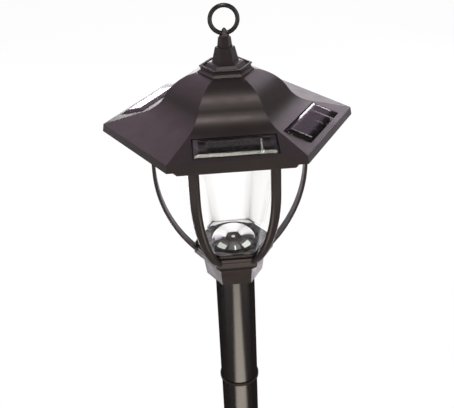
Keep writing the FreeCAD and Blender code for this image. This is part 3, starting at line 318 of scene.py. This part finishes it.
def mirror_coating():
    """Vacuum-metallised plastic: a bright dome in a duller dish darkened by a painted dark reflection with
    painted streaks.
    """
    finish = Finish("metallised_mirror")
    # Painted dark reflection over the dish round the dome and in front; the rear stays bright
    dish = finish.result("MULTIPLY", finish.spread(finish.from_axis(), 0, 1, *DARK_REFLECTION_START),
                         finish.spread(finish.axis["Y"], 1, 0, *DARK_REFLECTION_BEHIND))
    bright = finish.blend(finish.noise(0.01), (0.88, 0.89, 0.90), (0.94, 0.95, 0.95))
    # Painted streaks of reflection in the dark dish
    streak = finish.spread(finish.noise(0.0035, detail=2.0, stretch=(0.5, 1.6, 1)), 0, 1, 0.4, 0.62)
    painted_dark_reflection = finish.blend(streak, (0.015, 0.013, 0.015), (0.10, 0.096, 0.104))
    finish.feed(
        Metallic=1.0,
        Base_Color=finish.blend(dish, bright, painted_dark_reflection),
        Roughness=finish.spread(dish, 0.05, 0.32, 0, 1),
    )
    return finish.relief(finish.noise(0.008, detail=2.0), depth=0.0001, strength=0.25)


def silicon():
    """Dark blue-black cell with soft crystal patches."""
    finish = Finish("solar_silicon")
    patch = finish.fill(finish.add("ShaderNodeTexVoronoi"), Vector=finish.place, Scale=CRYSTAL_SCALE)
    finish.feed(
        Specular_IOR_Level=0.6,
        Base_Color=finish.blend(patch.outputs["Distance"], (0.016, 0.016, 0.017), (0.020, 0.021, 0.023)),
        Roughness=finish.spread(finish.noise(0.004), 0.22, 0.34),
    )
    return finish.relief(finish.noise(0.003), depth=0.00003, strength=0.05)


def solder_mask():
    """Green lacquer over copper tracks."""
    finish = Finish("solder_mask")
    tracks = finish.fill(
        finish.add("ShaderNodeTexBrick"), Vector=finish.place, Scale=TRACK_SCALE, Mortar_Size=TRACK_GAP,
        Color1=(0.015, 0.11, 0.045), Color2=(0.02, 0.14, 0.06), Mortar=(0.01, 0.07, 0.03),
    )
    finish.feed(
        Base_Color=tracks.outputs["Color"],
        Roughness=finish.spread(finish.noise(0.003), 0.25, 0.35),
    )
    return finish.relief(tracks.outputs["Fac"], depth=0.00005, strength=0.5)


def inner_plastic():
    return moulded_plastic("inner_black_plastic", (0.014, 0.014, 0.014), (0.022, 0.022, 0.022), (0.44, 0.53))


def white_plastic():
    return moulded_plastic("white_plastic", (0.72, 0.72, 0.70), (0.80, 0.80, 0.78), (0.34, 0.43))


def zinc_steel():
    return speckled("zinc_plated_steel", (0.45, 0.45, 0.44), (0.60, 0.60, 0.58), patch=0.002,
                    rough=(0.28, 0.42), haze=0.0012, grain=0.0006, depth=0.00003, strength=0.4, Metallic=1.0)


def nickel():
    return speckled("nickel_plate", (0.62, 0.60, 0.55), (0.72, 0.70, 0.66), patch=0.003,
                    rough=(0.2, 0.32), haze=0.001, grain=0.0007, depth=0.00003, strength=0.4, Metallic=1.0)


def foam_rubber():
    return speckled("foam_rubber", (0.012, 0.012, 0.012), (0.024, 0.024, 0.024), patch=0.002,
                    rough=(0.75, 0.9), haze=0.001, grain=0.0005, depth=0.0001, strength=0.6)


def lamp_epoxy():
    """Clear epoxy over the lamp's yellow phosphor."""
    return speckled("lamp_epoxy", (0.90, 0.82, 0.45), (0.95, 0.90, 0.62), patch=0.002,
                    rough=(0.08, 0.14), haze=0.001, grain=0.0008, depth=0.00002, strength=0.3,
                    IOR=1.5, Transmission_Weight=0.6)


def shrink_sleeve():
    return speckled("battery_sleeve", (0.02, 0.16, 0.07), (0.03, 0.21, 0.09), patch=0.01,
                    rough=(0.22, 0.34), haze=0.003, grain=0.002, depth=0.00004, strength=0.4,
                    stretch=(1, 1, 4))


def solder():
    """Tinned strip whose solder is broken into bright runs: partly real solder, partly a painted glint,
    white and matte.
    """
    finish = Finish("solder")
    # Bright runs and dark breaks: solder, and a painted broken glint
    solder_and_glint_runs = finish.spread(finish.noise(0.0022, detail=1.0), 0, 1, 0.44, 0.50)
    finish.feed(
        Base_Color=finish.blend(solder_and_glint_runs, (0.16, 0.14, 0.14), (0.95, 0.94, 0.93)),
        Roughness=finish.spread(finish.noise(0.0008), 0.35, 0.55),
    )
    return finish.relief(finish.noise(0.0007), depth=0.0002, strength=0.8)


MAKERS = {
    "dark_plastic": dark_plastic,
    "dark_metal": painted_metal,
    "clear_plastic": lens_acrylic,
    "clear_cover": cover_acrylic,
    "metallised": mirror_coating,
    "solar_cell": silicon,
    "screw_steel": zinc_steel,
    "seal_rubber": foam_rubber,
    "board": solder_mask,
    "inner_plastic": inner_plastic,
    "white_plastic": white_plastic,
    "lamp_epoxy": lamp_epoxy,
    "battery_sleeve": shrink_sleeve,
    "contact_metal": nickel,
}


def dress_nodes():
    """Gives every CAD node the material of its slot."""
    finishes = {slot: maker().material for slot, maker in MAKERS.items()}
    for name, node in frame["nodes"].items():
        node.data.materials.clear()
        node.data.materials.append(finishes[SLOT_OF[name]])


# ---------------------------------------------------------------- meshes

# Sides of the lantern
SIDES = 6


def piece_from(name, grid, material):
    """An object with the grid as its mesh."""
    mesh = bpy.data.meshes.new(name)
    grid.to_mesh(mesh)
    grid.free()
    mesh.materials.append(material)
    piece = bpy.data.objects.new(name, mesh)
    bpy.context.collection.objects.link(piece)
    return piece


def skin(name, rings, material, sharp=(), smooth=False):
    """A closed mesh through rings of equally many points; the rings listed as sharp keep their crease."""
    grid = bmesh.new()
    rows = [[grid.verts.new(point) for point in ring] for ring in rings]
    for first, second in zip(rows, rows[1:]):
        for here in range(len(first)):
            after = (here + 1) % len(first)
            grid.faces.new((first[here], first[after], second[after], second[here])).smooth = smooth
    for row in (rows[0], rows[-1]):
        grid.faces.new(row).smooth = smooth
    for place in sharp:
        row = rows[place]
        for here, vert in enumerate(row):
            grid.edges.get((vert, row[(here + 1) % len(row)])).smooth = False
    bmesh.ops.recalc_face_normals(grid, faces=grid.faces)
    return piece_from(name, grid, material)


def stand_for(piece, node):
    """Puts a piece in the place of a CAD node of the lantern."""
    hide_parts(node)
    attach(piece, "lantern")


def turns(count):
    """Angles of equal steps round the axis, from the right."""
    return [2 * math.pi * step / count for step in range(count)]


def at_turn(turn, radius, height):
    """A point at an angle round the axis."""
    return Vector((radius * math.cos(turn), radius * math.sin(turn), height))


# ---------------------------------------------------------------- cap

# The cap from its foot to its lip and channel: corner radius and height above the foot, in millimetres
CAP_PROFILE = (
    (20, 0), (20, 0.4), (18.2, 2.0), (17.9, 2.1), (17.8, 3.7), (17.4, 3.9), (18.4, 4.1), (18.7, 4.4),
    (18.7, 5.0), (18.4, 5.3), (17.2, 5.3), (16.8, 4.9), (16.7, 4.2), (15.3, 4.2), (12.8, 6.5), (9.6, 7.0),
)


def add_cap():
    """The cap with the chamfered foot, rolled lip and channel that catch the light."""
    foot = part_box("roof_cap")[0].z
    rings = [[at_turn(turn, radius * MM, foot + height * MM) for turn in turns(SIDES)]
             for radius, height in CAP_PROFILE]
    material = frame["nodes"]["roof_cap"].data.materials[0]
    stand_for(skin("cap_mouldings", rings, material), "roof_cap")


# ---------------------------------------------------------------- reflector

# A dome in a dish, in millimetres: the dome's height above the dish's floor, the dish's depth below the rim
DOME_RADIUS = 18.8
DOME_HEIGHT = 13.6
DISH_RADIUS = 24.2
DISH_DEPTH = 4.5
DISH_SAG = 0.45
REFLECTOR_WALL = 1.0
REFLECTOR_FLANGE = 1.5

# Points round the reflector, and rings down the dome and out over the dish
REFLECTOR_STEPS = 96
DOME_STEPS = 18
DISH_STEPS = 8

# The flat on top of the dome reaches this share of a step down it
DOME_FLAT = 0.25


def circle(radius, height):
    """Points of a level circle."""
    return [at_turn(turn, radius, height) for turn in turns(REFLECTOR_STEPS)]


def flange_outline(corner, height):
    """Points of a level hexagon, as many as a circle has."""
    side = 2 * math.pi / SIDES
    flat = corner * math.cos(side / 2)
    return [at_turn(turn, flat / math.cos(turn % side - side / 2), height)
            for turn in turns(REFLECTOR_STEPS)]


def dome_rings(radius, height, floor):
    """Rings of the dome from near its top down to the dish's floor."""
    steps = [(step + DOME_FLAT) / (DOME_STEPS + DOME_FLAT) for step in range(DOME_STEPS + 1)]
    angles = [math.pi / 2 * share for share in steps]
    return [circle(radius * math.sin(angle) * MM, floor + height * math.cos(angle) * MM) for angle in angles]


def dish_rings(rim, drop):
    """Rings of the dish from the dome's foot up to the rim, a little hollow and lowered by a drop."""
    rings = []
    for step in range(1, DISH_STEPS + 1):
        share = step / DISH_STEPS
        radius = DOME_RADIUS + (DISH_RADIUS - DOME_RADIUS) * share
        sag = DISH_SAG * 4 * share * (1 - share)
        rings.append(circle(radius * MM, rim - (DISH_DEPTH * (1 - share) + sag + drop) * MM))
    return rings


def add_reflector():
    """The metallised moulding as one thin shell: dome, dish and six-sided flange, then back underneath."""
    low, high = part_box("reflector")
    floor = low.z + REFLECTOR_WALL * MM
    rim = floor + DISH_DEPTH * MM
    upper = dome_rings(DOME_RADIUS, DOME_HEIGHT, floor) + dish_rings(rim, 0)
    flange = [flange_outline(high.x, rim), flange_outline(high.x, rim - REFLECTOR_FLANGE * MM)]
    under = dish_rings(rim, REFLECTOR_WALL - DISH_SAG)[::-1]
    under += dome_rings(DOME_RADIUS - REFLECTOR_WALL, DOME_HEIGHT - REFLECTOR_WALL, floor)[::-1]
    edge = len(upper)
    creases = (DOME_STEPS, edge - 1, edge, edge + 1, edge + 2)
    material = frame["nodes"]["reflector"].data.materials[0]
    piece = skin("reflector_shell", upper + flange + under, material, creases, smooth=True)
    stand_for(piece, "reflector")


# ---------------------------------------------------------------- solder strips

# The tinned strip near one end of each solar cell, in metres
STRIP_INSET = 0.0003
STRIP_WIDTH = 0.0013
STRIP_HEIGHT = 0.00012
STRIP_SWAY = 0.00008
STRIP_STEPS = 24

# It starts after this share of the cell and runs over this share of it
STRIP_START = 0.03
STRIP_RUN = 0.94

# Its section: shares of its width and of its height
STRIP_SECTION = ((0, 0), (0.12, 0.8), (0.5, 1), (0.88, 0.8), (1, 0))

# Its width and height waver by these shares
WIDTH_WAVER = 0.14
HEIGHT_WAVER = 0.2

# Pace of each wave, in radians over the strip, and its shift from strip to strip, in radians to the metre
SWAY_PACE = 17
WIDTH_PACE = 29
HEIGHT_PACE = 41
SWAY_SHIFT = 900
WIDTH_SHIFT = 700

# Corners this near to a face's level are on it, in metres
ON_FACE = 1e-5


def upper_face(node):
    """Corners of a cell's upper face, and its way out."""
    polygon = max(node.data.polygons, key=lambda face: face.area * (face.normal.z > 0.5))
    normal = polygon.normal.copy()
    level = polygon.center.dot(normal)
    corners = [v.co.copy() for v in node.data.vertices if abs(v.co.dot(normal) - level) < ON_FACE]
    return corners, normal


def strip_rings(across, up, normal, start, foot, top, level):
    """Sections of a strip from its foot to its top, wavy like hand-laid solder; start is its left side."""
    rings = []
    for step in range(STRIP_STEPS + 1):
        share = step / STRIP_STEPS
        height = foot + (top - foot) * (STRIP_START + STRIP_RUN * share)
        side = start + STRIP_SWAY * math.sin(SWAY_PACE * share + level * SWAY_SHIFT)
        width = STRIP_WIDTH * (1 + WIDTH_WAVER * (math.sin(WIDTH_PACE * share + start * WIDTH_SHIFT) - 1))
        rise = STRIP_HEIGHT * (1 + HEIGHT_WAVER * (math.sin(HEIGHT_PACE * share) - 1))
        rings.append([across * (side + width * out) + up * height + normal * (level + rise * lift)
                      for out, lift in STRIP_SECTION])
    return rings


def add_strips(material):
    """A tinned strip on every cell: at the right end of the front one, at the left end of the others."""
    for name in sorted(n for n in frame["nodes"] if n.startswith("solar_cell")):
        corners, normal = upper_face(frame["nodes"][name])
        across = Vector((-normal.y, normal.x, 0)).normalized()
        up = normal.cross(across)
        sides = [corner.dot(across) for corner in corners]
        heights = [corner.dot(up) for corner in corners]
        if normal.y < -abs(normal.x):
            tag, start = "right", max(sides) - STRIP_INSET - STRIP_WIDTH
        else:
            tag, start = "left", min(sides) + STRIP_INSET
        level = corners[0].dot(normal)
        rings = strip_rings(across, up, normal, start, min(heights), max(heights), level)
        piece = skin(f"{name}_strip_{tag}", rings, material)
        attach(piece, "lantern")


# ---------------------------------------------------------------- camera

CAMERA_PLACE = (-0.03003, -0.49280, 0.58040)
CAMERA_TILT = math.radians(28.562)
CAMERA_TURN = math.radians(-3.051)
CAMERA_ROLL = math.radians(-2.787)
CAMERA_LENS = 57.6
CAMERA_NEAR = 0.01


def add_camera():
    """The photograph's camera, in front and above."""
    data = bpy.data.cameras.new("camera")
    data.lens = CAMERA_LENS
    data.clip_start = CAMERA_NEAR
    camera = bpy.data.objects.new("camera", data)
    bpy.context.collection.objects.link(camera)
    aim = (
        Matrix.Rotation(CAMERA_TURN, 4, "Z")
        @ Matrix.Rotation(math.pi / 2 - CAMERA_TILT, 4, "X")
        @ Matrix.Rotation(CAMERA_ROLL, 4, "Z")
    )
    camera.matrix_world = Matrix.Translation(CAMERA_PLACE) @ aim
    bpy.context.scene.camera = camera


# ---------------------------------------------------------------- studio

WHITE = (1, 1, 1)
AMBIENT = 0.45

# What shiny surfaces mirror: in each list a stop at 0 is in front and one at 1 behind
WALLS = (
    (0.0, (0.16, 0.155, 0.16)),
    (0.1, (0.09, 0.085, 0.09)),
    (0.68, (0.06, 0.05, 0.06)),
    (0.82, (0.38, 0.34, 0.42)),
    (0.91, (0.80, 0.61, 0.77)),
    (1.0, (0.92, 0.70, 0.88)),
)
HORIZON = (
    (0.0, (0.10, 0.095, 0.10)),
    (0.86, (0.10, 0.095, 0.10)),
    (0.93, (1.0, 0.97, 1.0)),
    (1.0, (1.0, 1.0, 1.0)),
)
PAPER = (
    (0.0, (0.30, 0.27, 0.26)),
    (0.1, (0.55, 0.51, 0.48)),
    (0.2, (1.0, 0.96, 0.91)),
    (0.32, (0.7, 0.67, 0.64)),
    (0.40, (0.03, 0.025, 0.03)),
    (0.73, (0.03, 0.025, 0.03)),
    (0.80, (1.0, 0.96, 1.0)),
    (1.0, (0.9, 0.84, 0.92)),
)
CEILING = (0.11, 0.105, 0.11)
SHADE = (0.09, 0.08, 0.09)

# How far the walls are turned, and the heights of the mirrored way over which the walls take over from the
# horizon and the ceiling from the walls
WALLS_MIDDLE = math.radians(-15)
HORIZON_TOP = (0.19, 0.29)
CEILING_START = (0.68, 0.82)

# The floor: half its side, its gap below the spike's tip, and its own finish
FLOOR_REACH = 6
FLOOR_GAP = 0.0005
FLOOR_COLOUR = (0.86, 0.86, 0.86)
FLOOR_ROUGHNESS = 0.9

# The share of plain white in what the camera sees of it; the rest is its lit surface, with the shadow
PAPER_GLOW = 0.965

# The floor as mirrored has a shade round the pole, which fades over these distances
SHADE_REACH = (0.5, 0.8)


def studio_ring(graph, stops, middle=0.0):
    """Colours by compass direction: stops go by the cosine of the way, turned right by middle radians."""
    level = graph.add("ShaderNodeVectorMath", graph.place, (1, 1, 0), operation="MULTIPLY").outputs["Vector"]
    unit = graph.add("ShaderNodeVectorMath", level, operation="NORMALIZE").outputs["Vector"]
    behind = (math.sin(middle), math.cos(middle), 0)
    turn = graph.add("ShaderNodeVectorMath", unit, behind, operation="DOT_PRODUCT").outputs["Value"]
    ramp = graph.add("ShaderNodeValToRGB", graph.spread(turn, 0, 1, -1, 1))
    while len(ramp.color_ramp.elements) < len(stops):
        ramp.color_ramp.elements.new(0.5)
    for element, (position, colour) in zip(ramp.color_ramp.elements, stops):
        element.position = position
        element.color = (*colour, 1)
    return ramp.outputs["Color"]


def add_world():
    """White to the camera and through clear plastic, a plain ambient light, and a studio in reflections."""
    world = bpy.data.worlds.new("studio")
    bpy.context.scene.world = world
    world.use_nodes = True
    graph = Graph(world.node_tree, "Generated")

    def sky(colour, strength=1.0):
        return graph.glow(colour, strength, "ShaderNodeBackground")

    below = graph.spread(graph.axis["Z"], 1, 0, *HORIZON_TOP, "SMOOTHSTEP")
    above = graph.spread(graph.axis["Z"], 0, 1, *CEILING_START, "SMOOTHSTEP")
    walls = sky(studio_ring(graph, WALLS, WALLS_MIDDLE))
    walls = graph.mixed(below, walls, sky(studio_ring(graph, HORIZON)))
    mirrored = graph.mixed(above, walls, sky(CEILING))
    seen = graph.mixed(graph.ray_is("Is Glossy Ray"), sky(WHITE, AMBIENT), mirrored)
    seen = graph.mixed(graph.ray_is("Is Camera Ray", "Is Transmission Ray"), seen, sky(WHITE))
    graph.show(seen, "World Output")


def paper():
    """Pale paper, nearly white to the camera; reflections see painted light on it and a painted shade round
    the pole.
    """
    finish = Finish("paper_floor")
    finish.feed(Base_Color=FLOOR_COLOUR, Roughness=FLOOR_ROUGHNESS)
    far = finish.spread(finish.from_axis(), 0, 1, *SHADE_REACH, "SMOOTHSTEP")
    # Reflections see painted light bands and a painted shade round the pole
    mirrored = finish.mixed(far, finish.glow(SHADE), finish.glow(studio_ring(finish, PAPER)))
    whitened = finish.result("MULTIPLY", finish.ray_is("Is Camera Ray", "Is Transmission Ray"), PAPER_GLOW)
    seen = finish.mixed(whitened, finish.shader.outputs["BSDF"], finish.glow(WHITE))
    return finish.show(finish.mixed(finish.ray_is("Is Glossy Ray"), seen, mirrored))


def add_floor():
    """A sheet of paper under the spike's tip; it keeps the object's shadow."""
    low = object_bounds()[0]
    grid = bmesh.new()
    bmesh.ops.create_grid(grid, x_segments=1, y_segments=1, size=FLOOR_REACH)
    floor = piece_from("floor", grid, paper().material)
    floor.location.z = low[2] - FLOOR_GAP


# ---------------------------------------------------------------- lights

LANTERN_MIDDLE = (0, 0, 0.36)
COLLAR_MIDDLE = (0, 0, 0.235)
CARD_COLOUR = (0.95, 1, 0.88)

# Softboxes: azimuth and elevation in degrees, distance, width and height in metres, radiance, colour
SOFTBOXES = (
    ("overhead_front", -3, 61.4, 1.5, 0.55, 0.28, 13.5, (1, 0.97, 0.90)),
    ("back_right", 152, 17, 1.6, 0.5, 0.3, 7.0, (1, 0.91, 1)),
    ("behind_core", 180, 6, 1.8, 0.8, 0.45, 5.0, (1, 0.97, 1)),
)

# The same for wide ones that shine through the milky half of the lens, its painted glare, and aren't
# mirrored
BACKLIGHTS = (
    ("behind_left", 236, 6, 1.8, 2.6, 0.9, 3.2, WHITE),
    ("behind", 180, 6, 1.8, 2.6, 0.9, 2.0, WHITE),
    ("behind_right", 124, 6, 1.8, 2.6, 0.9, 3.2, WHITE),
)

# The same for cards in front, which the dome mirrors
CARDS = (
    ("card_left", -60, 13, 0.8, 0.8, 0.65, 0.55, CARD_COLOUR),
    ("card_middle", 4, 13, 0.8, 0.09, 0.65, 1.0, CARD_COLOUR),
    ("card_right", 60, 13, 0.8, 0.8, 0.65, 0.75, CARD_COLOUR),
)

# Lamps near the floor, which the pole and collar mirror: place, target, width, height, radiance, colour
FLOOR_LAMPS = (
    ("floor_strip", (0.012, -0.41, -0.13), (0.012, -0.41, 1), 0.33, 0.44, 3.9, (1, 0.90, 0.77)),
    ("floor_left", (-0.335, 0.28, -0.13), COLLAR_MIDDLE, 0.16, 0.16, 12, (1, 0.95, 1)),
    ("floor_right", (0.315, 0.33, -0.13), COLLAR_MIDDLE, 0.16, 0.16, 11, (1, 0.95, 1)),
)


def lamp(name, place, target, width, height, radiance, colour):
    """A rectangular lamp at a place, turned to a target; neither the camera nor clear plastic shows it."""
    data = bpy.data.lights.new(name, "AREA")
    data.shape = "RECTANGLE"
    data.size = width
    data.size_y = height
    data.color = colour
    data.energy = radiance * math.pi * width * height
    item = bpy.data.objects.new(name, data)
    bpy.context.collection.objects.link(item)
    item.location = place
    item.rotation_euler = (Vector(place) - Vector(target)).to_track_quat("Z", "Y").to_euler()
    item.visible_camera = False
    item.visible_transmission = False
    return item


def softbox(name, azimuth, elevation, distance, *rest):
    """A lamp that faces the lantern; azimuth 0 is in front, on -Y, and grows to the right."""
    turn, rise = math.radians(azimuth), math.radians(elevation)
    out = Vector((math.sin(turn) * math.cos(rise), -math.cos(turn) * math.cos(rise), math.sin(rise)))
    return lamp(name, Vector(LANTERN_MIDDLE) + out * distance, LANTERN_MIDDLE, *rest)


def add_lights():
    """Puts up every lamp."""
    for row in SOFTBOXES:
        softbox(*row)
    for row in BACKLIGHTS:
        softbox(*row).visible_glossy = False
    for row in FLOOR_LAMPS:
        lamp(*row)
    for row in CARDS:
        softbox(*row)


bpy.context.scene.view_settings.view_transform = "Standard"
dress_nodes()
add_cap()
add_reflector()
add_strips(solder().material)
add_camera()
add_world()
add_floor()
add_lights()
